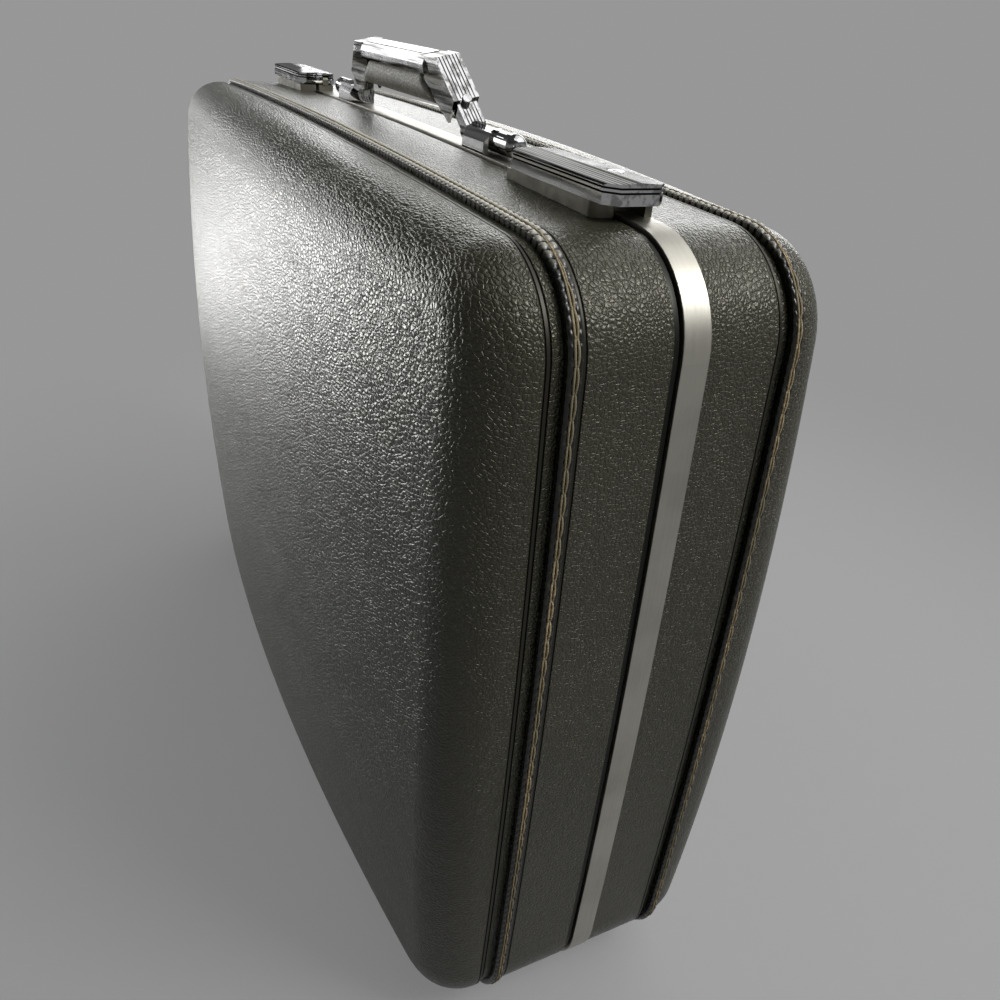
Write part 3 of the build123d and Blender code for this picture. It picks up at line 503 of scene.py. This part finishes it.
def quarter_arcs(inset):
    w, h, r = HALF_WIDTH - inset, HALF_HEIGHT - inset, CORNER - inset
    a, b = w - BOW_SIDE, h - BOW_TOP
    side_r = (b * b + BOW_SIDE * BOW_SIDE) / (2 * BOW_SIDE)
    top_r = (a * a + BOW_TOP * BOW_TOP) / (2 * BOW_TOP)
    side_c, top_c = Vector((w - side_r, 0)), Vector((0, h - top_r))
    # The corner's centre is where circles of radius side_r - r and top_r - r meet.
    # They meet twice, and the meeting point at the right is the one that is wanted.
    span = top_c - side_c
    d = span.length
    p, q = side_r - r, top_r - r
    along = (p * p - q * q + d * d) / (2 * d)
    off = math.sqrt(p * p - along * along)
    unit = span / d
    across = Vector((-unit.y, unit.x))
    corner_c = side_c + unit * along + across * -off
    if corner_c.x < 0:
        corner_c = side_c + unit * along + across * off
    to_side = math.atan2(*(corner_c - side_c).yx)
    to_top = math.atan2(*(corner_c - top_c).yx)
    return [
        (side_c, side_r, 0.0, to_side),
        (corner_c, r, to_side, to_top),
        (top_c, top_r, to_top, math.pi / 2),
    ]


def case_line(inset, steps):
    """Even steps round the case, as (point, outward direction) pairs, and the whole length."""
    first = quarter_arcs(inset)
    flips = ((1, 1, False), (-1, 1, True), (-1, -1, False), (1, -1, True))
    pieces = []
    for sx, sz, backwards in flips:
        for c, r, t0, t1 in (reversed(first) if backwards else first):
            start, end = (t1, t0) if backwards else (t0, t1)
            pieces.append((c, r, start, end, sx, sz))
    lengths = [p[1] * abs(p[3] - p[2]) for p in pieces]
    total = sum(lengths)
    line, index, passed = [], 0, 0.0
    for k in range(steps):
        goal = total * k / steps
        while goal > passed + lengths[index]:
            passed += lengths[index]
            index += 1
        c, r, start, end, sx, sz = pieces[index]
        angle = start + (end - start) * (goal - passed) / lengths[index]
        way = Vector((math.cos(angle) * sx, 0, math.sin(angle) * sz))
        spot = Vector((c.x * sx, 0, c.y * sz)) + way * r
        line.append((MIDDLE + spot, way))
    return line, total


_, outline_length = case_line(0, steps=8)
print("round the case:", round(outline_length, 3), "m")

# %% [markdown]
# ## Mesh helpers
#
# Everything that is remade here is rings of points joined by faces. One helper makes an
# object from such rings, which are each closed, and joins the last to the first or leaves the
# ends open. Working from rings keeps the faces even, so the surfaces shade cleanly.


# %% Mesh helpers
def object_from(name, mesh_bm, finish, smooth=True):
    bmesh.ops.recalc_face_normals(mesh_bm, faces=mesh_bm.faces)
    mesh = bpy.data.meshes.new(name)
    mesh_bm.to_mesh(mesh)
    mesh_bm.free()
    for face in mesh.polygons:
        face.use_smooth = smooth
    mesh.materials.append(finish)
    made = bpy.data.objects.new(name, mesh)
    bpy.context.scene.collection.objects.link(made)
    print(name, len(mesh.polygons), "faces")
    return made


def skin_rings(mesh_bm, rings, close_ends=True):
    """Faces between rings of points. With close_ends the last ring is joined to the first."""
    rows = [[mesh_bm.verts.new(p) for p in ring] for ring in rings]
    n = len(rows[0])
    for one, two in zip(rows, rows[1:] + rows[:1] if close_ends else rows[1:]):
        for i in range(n):
            j = (i + 1) % n
            mesh_bm.faces.new((one[i], one[j], two[j], two[i]))
    return rows


def bake_modifiers(thing):
    """Put the shape that the modifiers give into the mesh, and take the modifiers off."""
    graph = bpy.context.evaluated_depsgraph_get()
    made = bpy.data.meshes.new_from_object(thing.evaluated_get(graph))
    thing.modifiers.clear()
    thing.data = made


# %% [markdown]
# ## The welt
#
# A stitched welt runs round each half. It has two rolled edges with a channel between them,
# and a thread lies in the channel. The needle has pinched the rolls every few millimetres,
# so along the top they look like rows of beads. It could be a tube with a bump pattern, but
# the beads catch the light one by one, so they are real shape: the section of the welt is
# swept round the case and the height of the rolls goes up and down on the way. Down the ends
# the rolls are pulled less and stay nearly smooth.
#
# Along the top the beads are painted pale as a highlight, and the pinched gaps are painted dark
# as shade. How far each point is pinched is stored with the mesh, and the finish reads it back to
# paint that shade into the gaps.

# %% Welt finish
WELT_DARK = (0.008, 0.0085, 0.007)
WELT_WORN = (0.04, 0.038, 0.029)
WELT_TOP_HIGHLIGHT = (0.50, 0.48, 0.41)
WELT_GAP_SHADE = (0.006, 0.006, 0.005)
WELT_HIGHLIGHT_FROM = 456.0 * MM
WELT_HIGHLIGHT_FULLY = 469.0 * MM


def welt_finish():
    finish, tree, shader = new_finish("welt_vinyl", WELT_DARK, 0.30, level=0.4)
    point = place(tree)
    wear = ramp(tree, cloud(tree, point, 260, 4.0, 0.65).outputs["Fac"], 0.5, 0.72)
    color = blend_colors(tree, wear, WELT_DARK, WELT_WORN)
    # Painted highlight: the welt is painted pale along the top of the case.
    painted_top_highlight = ramp(tree, axis_value(tree, point, 2), WELT_HIGHLIGHT_FROM, WELT_HIGHLIGHT_FULLY)
    color = blend_colors(tree, calc(tree, "MULTIPLY", painted_top_highlight, 0.9), color, WELT_TOP_HIGHLIGHT)
    pinched = tree.nodes.new("ShaderNodeAttribute")
    pinched.attribute_name = "pinched"
    # Painted shade: the pinched gaps between the beads are painted dark.
    gap_shade = ramp(tree, pinched.outputs["Fac"], 0.25, 0.8)
    tree.links.new(blend_colors(tree, gap_shade, color, WELT_GAP_SHADE), shader.inputs["Base Color"])
    tree.links.new(ramp(tree, wear, 0, 1, 0.24, 0.42), shader.inputs["Roughness"])
    relief(tree, shader, cloud(tree, point, 900, 3.0).outputs["Fac"], 0.06 * MM, 0.5)
    return finish


welt_vinyl = welt_finish()

# %% Welt section
PINCH = 4.7 * MM
PINCH_DEPTH = 1.2 * MM
PINCH_AT_ENDS = 0.32
PINCH_SHARPNESS = 1.8
WELT_STEPS_PER_PINCH = 8
CORD_PROUD = 1.5 * MM
CORD_SHARE = 0.44
CORD_FULLNESS = 0.8
CHANNEL_PROUD = 0.35 * MM
CHANNEL_DIP = 0.7
WELT_FOOT = 2.75 * MM
LEVEL_FROM = 0.62
LEVEL_FULLY = 0.95


def on_top(way):
    """1 along the top and the bottom, falling to 0 round the corners and down the ends."""
    share = (abs(way.z) - LEVEL_FROM) / (LEVEL_FULLY - LEVEL_FROM)
    return min(1.0, max(0.0, share))


def welt_section(pinch):
    """Two half-round rolls and the channel, as (share of the width, how proud) pairs."""
    top = CORD_PROUD - pinch
    angles = [math.radians(a) for a in range(0, 181, 20)]
    bulge = [(0.5 - 0.5 * math.cos(a), top * math.sin(a) ** CORD_FULLNESS) for a in angles]
    first = [(s * CORD_SHARE, proud) for s, proud in bulge]
    second = [(1 - CORD_SHARE + s * CORD_SHARE, proud) for s, proud in bulge]
    first[-1] = (CORD_SHARE, CHANNEL_PROUD)
    second[0] = (1 - CORD_SHARE, CHANNEL_PROUD)
    return first + [(0.5, CHANNEL_PROUD * CHANNEL_DIP)] + second


# %% Welts
pinch_count = round(outline_length / PINCH)
welt_line, _ = case_line(0, steps=pinch_count * WELT_STEPS_PER_PINCH)
print(pinch_count, "pinches round each welt")


def welt_piece(name, node, body):
    low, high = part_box(node)
    shape = bmesh.new()
    rings, pinched = [], []
    for k, (spot, way) in enumerate(welt_line):
        wave = 0.5 - 0.5 * math.cos(2 * math.pi * k / WELT_STEPS_PER_PINCH)
        reach = PINCH_AT_ENDS + (1 - PINCH_AT_ENDS) * on_top(way)
        pull = reach * wave ** PINCH_SHARPNESS
        ring = []
        for share, proud in welt_section(PINCH_DEPTH * pull):
            ring.append(spot + way * proud + Vector((0, low.y + (high.y - low.y) * share, 0)))
        for y in (high.y, low.y):
            ring.append(spot - way * WELT_FOOT + Vector((0, y, 0)))
        rings.append(ring)
        pinched += [pull] * len(ring)
    skin_rings(shape, rings)
    piece = object_from(name, shape, welt_vinyl)
    piece.data.attributes.new("pinched", "FLOAT", "POINT").data.foreach_set("value", pinched)
    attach(piece, body)
    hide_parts(node)


welt_piece("lid_welt_rolls", "lid_welt", "lid")
welt_piece("base_welt_rolls", "base_welt", "base")

# %% [markdown]
# ## The thread in the welt
#
# A tan thread lies in the channel in long chain loops, two strands side by side that come
# together where one loop goes into the next. Each strand is a thin tube swept along one side
# of a lens shape. The loops overlap a little, so the row reads as one chain. Along the top
# the thread is pulled tight, and its two strands lie close together and read as one line.

# %% Thread finish
THREAD_TAN = (0.50, 0.40, 0.25)
THREAD_DARK = (0.20, 0.155, 0.09)
THREAD_LIGHT = (0.58, 0.47, 0.29)
THREAD_SOILED = (0.22, 0.19, 0.12)


def thread_finish():
    finish, tree, shader = new_finish("tan_thread", THREAD_TAN, 0.75, level=0.3)
    point = place(tree)
    fray = cloud(tree, point, 700, 4.0, 0.7).outputs["Fac"]
    stretch = cloud(tree, point, 14, 3.0).outputs["Fac"]
    dusty = blend_colors(tree, ramp(tree, fray, 0.35, 0.7), THREAD_DARK, THREAD_LIGHT)
    color = blend_colors(tree, ramp(tree, stretch, 0.4, 0.6), dusty, THREAD_SOILED)
    tree.links.new(color, shader.inputs["Base Color"])
    relief(tree, shader, fray, 0.3 * MM, 0.8)
    return finish


thread = thread_finish()

# %% Thread loops
LOOP = 10.4 * MM
LOOP_OVERLAP = 1.6 * MM
LOOP_STEPS = 10
LOOP_LEAD = round(LOOP_STEPS * LOOP_OVERLAP / LOOP)
LOOP_BLUNTNESS = 0.4
THREAD_RADIUS = 0.60 * MM
THREAD_REST = 0.8 * CHANNEL_PROUD
THREAD_ARCH = 0.8
THREAD_SIDES = 6
STRAND_APART = 0.85 * MM
TIGHT_ON_TOP = 0.85
THIN_ON_TOP = 0.6
loop_count = round(outline_length / LOOP)
thread_line, _ = case_line(0, steps=loop_count * LOOP_STEPS)
print(loop_count, "loops of thread in each welt")


def strand_ring(spot, way, middle, strand, share):
    """The section of one strand, at its share of the way along a loop."""
    arch = math.sin(math.pi * share)
    spread = arch ** LOOP_BLUNTNESS if 0 < share < 1 else 0.0
    apart = STRAND_APART * (1 - TIGHT_ON_TOP * on_top(way))
    centre = spot + way * (THREAD_REST + THREAD_RADIUS * (1.0 + THREAD_ARCH * arch))
    centre.y = middle + strand * apart * spread
    radius = THREAD_RADIUS * (0.6 + 0.4 * spread) * (1 - THIN_ON_TOP * on_top(way))
    ring = []
    for side in range(THREAD_SIDES):
        turn = math.radians(360 / THREAD_SIDES * side)
        ring.append(centre + (way * math.cos(turn) + Vector((0, math.sin(turn), 0))) * radius)
    return ring


def thread_piece(name, node, body):
    low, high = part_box(node)
    middle = (low.y + high.y) / 2
    shape = bmesh.new()
    for n in range(loop_count):
        for strand in (-1, 1):
            rings = []
            for k in range(-LOOP_LEAD, LOOP_STEPS + 1):
                spot, way = thread_line[(n * LOOP_STEPS + k) % len(thread_line)]
                share = (k + LOOP_LEAD) / (LOOP_STEPS + LOOP_LEAD)
                rings.append(strand_ring(spot, way, middle, strand, share))
            rows = skin_rings(shape, rings, close_ends=False)
            shape.faces.new(rows[0][::-1])
            shape.faces.new(rows[-1])
    piece = object_from(name, shape, thread)
    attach(piece, body)


thread_piece("lid_welt_thread", "lid_welt", "lid")
thread_piece("base_welt_thread", "base_welt", "base")

# %% [markdown]
# ## The padded grip
#
# Under the metal top of the handle is a stuffed pale vinyl grip. It bulges between its ends
# and is wrinkled along its length. It could be drawn, but a stuffed piece is more
# convincing when it is blown up: a copy of the grip's solid, a little smaller, becomes cloth
# with air pressure in it, and then each point's move is held to a few millimetres.

# %% Grip finish
GRIP_PALE = (0.60, 0.58, 0.51)
GRIP_CRACK = (0.40, 0.385, 0.32)
GRIP_CROWN = (0.74, 0.72, 0.64)
GRIP_DIRT = (0.16, 0.145, 0.11)


def grip_finish():
    finish, tree, shader = new_finish("grip_vinyl", GRIP_PALE, 0.42, level=0.5)
    point = place(tree)
    pebbles = ramp(tree, cells(tree, bent(tree, point, 300, 2 * MM), 620), 0.0, 0.3)
    wrinkles = cloud(tree, place(tree, (40, 260, 260)), 1.0, 4.0, 0.6).outputs["Fac"]
    height = calc(tree, "MULTIPLY_ADD", wrinkles, 1.2, pebbles)
    relief(tree, shader, height, 0.22 * MM, 0.8)
    dirt = ramp(tree, cloud(tree, point, 55, 5.0, 0.65).outputs["Fac"], 0.42, 0.7)
    light = blend_colors(tree, ramp(tree, pebbles, 0, 1), GRIP_CRACK, GRIP_CROWN)
    color = blend_colors(tree, calc(tree, "MULTIPLY", dirt, 0.45), light, GRIP_DIRT)
    tree.links.new(color, shader.inputs["Base Color"])
    tree.links.new(ramp(tree, height, 0.4, 1.8, 0.5, 0.36), shader.inputs["Roughness"])
    return finish


grip_vinyl = grip_finish()

# %% Grip shape
GRIP_SHRINK = 0.5 * MM
GRIP_MOVE = 2.2 * MM
GRIP_FRAMES = 20
GRIP_VOXEL = 2.0 * MM
GRIP_PRESSURE = 4
GRIP_SMOOTHING = 4
WELD = 0.05 * MM


def even_grip():
    """A copy of the grip's solid, a little smaller and with faces of one size."""
    mesh = nodes["handle_grip"].data.copy()
    mesh.materials.clear()
    pad = bpy.data.objects.new("grip_pad", mesh)
    bpy.context.scene.collection.objects.link(pad)
    shape = bmesh.new()
    shape.from_mesh(mesh)
    bmesh.ops.remove_doubles(shape, verts=shape.verts, dist=WELD)
    bmesh.ops.recalc_face_normals(shape, faces=shape.faces)
    for vert in shape.verts:
        vert.co -= vert.normal * GRIP_SHRINK
    shape.to_mesh(mesh)
    shape.free()
    remesh = pad.modifiers.new("even", "REMESH")
    remesh.mode = "VOXEL"
    remesh.voxel_size = GRIP_VOXEL
    bake_modifiers(pad)
    return pad


def blow_up(pad):
    """Let the pad fill with air for a few frames, as cloth."""
    cloth = pad.modifiers.new("air", "CLOTH")
    cloth.settings.use_pressure = True
    cloth.settings.uniform_pressure_force = GRIP_PRESSURE
    cloth.settings.effector_weights.gravity = 0
    cloth.point_cache.frame_start = 1
    cloth.point_cache.frame_end = GRIP_FRAMES
    for step in range(1, GRIP_FRAMES + 1):
        bpy.context.scene.frame_set(step)
    bake_modifiers(pad)
    bpy.context.scene.frame_set(1)


def stuffed_grip():
    pad = even_grip()
    rest = [v.co.copy() for v in pad.data.vertices]
    blow_up(pad)
    for vert, before in zip(pad.data.vertices, rest):
        move = vert.co - before
        if move.length > GRIP_MOVE:
            move = move.normalized() * GRIP_MOVE
        vert.co = before + move
    smooth = pad.modifiers.new("smooth", "SMOOTH")
    smooth.iterations = GRIP_SMOOTHING
    subdivide = pad.modifiers.new("finer", "SUBSURF")
    subdivide.levels = subdivide.render_levels = 1
    bake_modifiers(pad)
    for face in pad.data.polygons:
        face.use_smooth = True
    pad.data.materials.append(grip_vinyl)
    print("grip pad", len(pad.data.polygons), "faces")
    return pad


grip_pad = stuffed_grip()
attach(grip_pad, "handle")
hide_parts("handle_grip")

# %% [markdown]
# ## The linings
#
# Inside, each half has a tray covered in woven cloth. The tray's wall goes straight back and
# then slopes in to its floor. The cloth is a thin shell on that line, padded a little on the
# floor. The inside can't be seen in the picture, so its cloth and its colour are a guess.

# %% Lining finish
LINING_TAN = (0.30, 0.23, 0.15)
LINING_DARK = (0.16, 0.115, 0.07)
LINING_LIGHT = (0.40, 0.32, 0.21)
WEAVE_SCALE = 190


def weave_threads(tree, point, direction):
    threads = tree.nodes.new("ShaderNodeTexWave")
    threads.bands_direction = direction
    threads.inputs["Scale"].default_value = WEAVE_SCALE
    threads.inputs["Distortion"].default_value = 0.6
    tree.links.new(point, threads.inputs["Vector"])
    return threads.outputs["Fac"]


def lining_finish():
    finish, tree, shader = new_finish("woven_lining", LINING_TAN, 0.72, level=0.3)
    shader.inputs["Sheen Weight"].default_value = 0.35
    shader.inputs["Sheen Roughness"].default_value = 0.4
    point = place(tree)
    along, upright = (weave_threads(tree, point, direction) for direction in ("X", "Z"))
    weave = calc(tree, "MULTIPLY", along, upright)
    folds = cloud(tree, point, 14, 4.0, 0.55).outputs["Fac"]
    relief(tree, shader, calc(tree, "MULTIPLY_ADD", folds, 2.5, weave), 0.4 * MM, 0.7)
    tone = calc(tree, "MULTIPLY_ADD", weave, 0.75, ramp(tree, folds, 0.3, 0.7, 0.0, 0.18))
    color = blend_colors(tree, tone, LINING_DARK, LINING_LIGHT)
    tree.links.new(color, shader.inputs["Base Color"])
    return finish


woven_lining = lining_finish()

# %% Lining shape
SHOULDER_IN = 18.0 * MM
SHOULDER_DEEP = 26.0 * MM
RIM_STEP = 12.0 * MM
WALL_STEP = 4.0 * MM
LINING_SLACK = 0.1 * MM
LINING_THICKNESS = 1.1 * MM
LINING_STEPS = 240
FLOOR_PUFF = 3.0 * MM


def lining_rows(node, side):
    """The line of the tray from its rim to its floor, as (inset, depth) pairs."""
    low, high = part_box(node)
    start, end = sorted((side * low.y, side * high.y))
    inset = HALF_WIDTH - high.x + LINING_SLACK
    floor_y = end - LINING_SLACK
    wall_end = floor_y - SHOULDER_DEEP
    wall = (start, start + RIM_STEP, start + 2 * RIM_STEP, wall_end - WALL_STEP, wall_end)
    rows = [(inset, y) for y in wall]
    for share in (0.25, 0.5, 0.75, 0.97, 1.0):
        rows.append((inset + SHOULDER_IN * share, wall_end + SHOULDER_DEEP * share))
    return rows, floor_y


def lining_piece(name, node, body, side):
    rows, floor_y = lining_rows(node, side)
    shape = bmesh.new()
    rings = []
    for ring_inset, y in rows:
        line, _ = case_line(ring_inset, steps=LINING_STEPS)
        rings.append([spot + Vector((0, side * y, 0)) for spot, _ in line])
    edge_ring = rings[-1]
    centre = MIDDLE + Vector((0, side * floor_y, 0))
    for share in (0.96, 0.85, 0.7, 0.5, 0.3, 0.12):
        lift = Vector((0, side * FLOOR_PUFF * (1 - share ** 4), 0))
        rings.append([centre + (p - centre) * share - lift for p in edge_ring])
    made_rows = skin_rings(shape, rings, close_ends=False)
    shape.faces.new(made_rows[-1])
    piece = object_from(name, shape, woven_lining)
    thick = piece.modifiers.new("cloth", "SOLIDIFY")
    thick.thickness = LINING_THICKNESS
    thick.offset = -1
    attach(piece, body)
    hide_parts(node)


lining_piece("lid_lining_cloth", "lid_lining", "lid", -1)
lining_piece("base_lining_cloth", "base_lining", "base", 1)

# %% [markdown]
# ## Floor and light
#
# A plain pale floor and soft lamps are enough. A wide lamp high up behind the case lights its
# top and throws the case's shadow forward. A low, wide lamp to the left is mirrored in the
# domed face as one long sheen that stops before the right edge: a sheen lies where the
# surface mirrors a lamp, so the lamp's place was worked out from the place of the sheen. A
# faint lamp behind it fills the handle's side. A broad lamp far back lights the top at a
# grazing angle, and a small one makes the near corner sparkle.
#
# The sky is weak, so that the dark side keeps its depth. Seen in the metal, it is pale at the
# horizon and dark overhead, which gives the chrome its contrast. The floor is half clear: what
# lies behind it is the sky's tone, so no horizon shows, and the open lid, which swings below
# the floor of a standing case, can still be seen through it.

# %% Floor
FLOOR_COLOR = (0.39, 0.39, 0.40)
FLOOR_BOUNCE = (0.17, 0.17, 0.17)
FLOOR_RADIUS = 40
FLOOR_SIDES = 96
SPECKLE = 0.03
CLEAR_FROM = 0.45
CLEAR_FULLY = 1.15
CLEAR_UNDER_CASE = 0.55


def seen_directly(tree):
    """1 for what the camera sees, straight or in a mirror or glass, and 0 for plain lighting."""
    path = tree.nodes.new("ShaderNodeLightPath")
    seen = calc(tree, "MAXIMUM", path.outputs["Is Camera Ray"], path.outputs["Is Glossy Ray"])
    return calc(tree, "MAXIMUM", seen, path.outputs["Is Transmission Ray"])


def floor_finish():
    finish, tree, shader = new_finish("pale_floor", FLOOR_COLOR, 0.9, level=0.1)
    point = place(tree)
    speckle = cloud(tree, point, 60, 4.0).outputs["Fac"]
    low, high = (tuple(k * c for c in FLOOR_COLOR) for k in (1 - SPECKLE, 1 + SPECKLE))
    color = blend_colors(tree, speckle, low, high)
    color = blend_colors(tree, seen_directly(tree), FLOOR_BOUNCE, color)
    tree.links.new(color, shader.inputs["Base Color"])
    reach = tree.nodes.new("ShaderNodeVectorMath")
    reach.operation = "LENGTH"
    tree.links.new(point, reach.inputs[0])
    far = ramp(tree, reach.outputs["Value"], CLEAR_FROM, CLEAR_FULLY, CLEAR_UNDER_CASE, 1.0)
    clear = tree.nodes.new("ShaderNodeBsdfTransparent")
    both = tree.nodes.new("ShaderNodeMixShader")
    for socket, value in zip(both.inputs, (far, shader.outputs[0], clear.outputs[0])):
        tree.links.new(value, socket)
    tree.links.new(both.outputs[0], tree.nodes["Material Output"].inputs["Surface"])
    return finish


floor_shape = bmesh.new()
bmesh.ops.create_circle(floor_shape, cap_ends=True, segments=FLOOR_SIDES, radius=FLOOR_RADIUS)
floor = object_from("floor", floor_shape, floor_finish(), smooth=False)

# %% Lamps
# Each lamp: place and aim in metres, width and height in metres, power in watts, spread.
LAMPS = {
    "key": ((0.6, 0.80, 1.85), (0.1, 0, 0.4), (2.6, 2.2), 30, 180),
    "left": ((-0.96, -0.62, 0.165), (0.15, -0.1, 0.38), (0.72, 0.28), 1.45, 90),
    "fill": ((-1.5, -0.75, 0.62), (0, -0.05, 0.49), (0.9, 0.5), 1.0, 75),
    "back": ((-1.8, 1.4, 1.0), (0, 0, 0.45), (2.2, 1.4), 32, 180),
    "corner": ((1.20, 0.78, 1.70), (0.33, -0.05, 0.44), (0.6, 0.6), 18, 180),
}


def soft_lamp(name, place_at, aim_at, size, power, spread):
    data = bpy.data.lights.new(name, "AREA")
    data.shape = "RECTANGLE"
    data.size, data.size_y = size
    data.energy = power
    data.spread = math.radians(spread)
    lamp = bpy.data.objects.new(name, data)
    lamp.location = place_at
    aim = Vector(aim_at) - Vector(place_at)
    lamp.rotation_euler = aim.to_track_quat("-Z", "Y").to_euler()
    lamp.visible_camera = False
    bpy.context.scene.collection.objects.link(lamp)


for lamp_name, lamp_values in LAMPS.items():
    soft_lamp(lamp_name, *lamp_values)
print("lamps:", ", ".join(LAMPS))

# %% Sky
SKY_TONE = 0.31
SKY_OVERHEAD = 0.05
SKY_LIGHT = 0.05
SKY_FADE = (0.03, 0.5)

world = bpy.data.worlds.new("sky")
world.use_nodes = True
sky_tree = world.node_tree
sky = sky_tree.nodes["Background"]
outlook = sky_tree.nodes.new("ShaderNodeTexCoord").outputs["Generated"]
upward = axis_value(sky_tree, outlook, 2)
# Sockets 2 and 3 of the mix are two plain numbers: the sky as light, and the sky as seen.
strength = sky_tree.nodes.new("ShaderNodeMix")
strength.inputs[2].default_value = SKY_LIGHT
visible = ramp(sky_tree, upward, *SKY_FADE, SKY_TONE, SKY_OVERHEAD)
sky_tree.links.new(seen_directly(sky_tree), strength.inputs[0])
sky_tree.links.new(visible, strength.inputs[3])
sky_tree.links.new(strength.outputs[0], sky.inputs["Strength"])
sky.inputs["Color"].default_value = (1.0, 1.0, 1.0, 1)
bpy.context.scene.world = world

bpy.context.scene.view_settings.view_transform = "Standard"
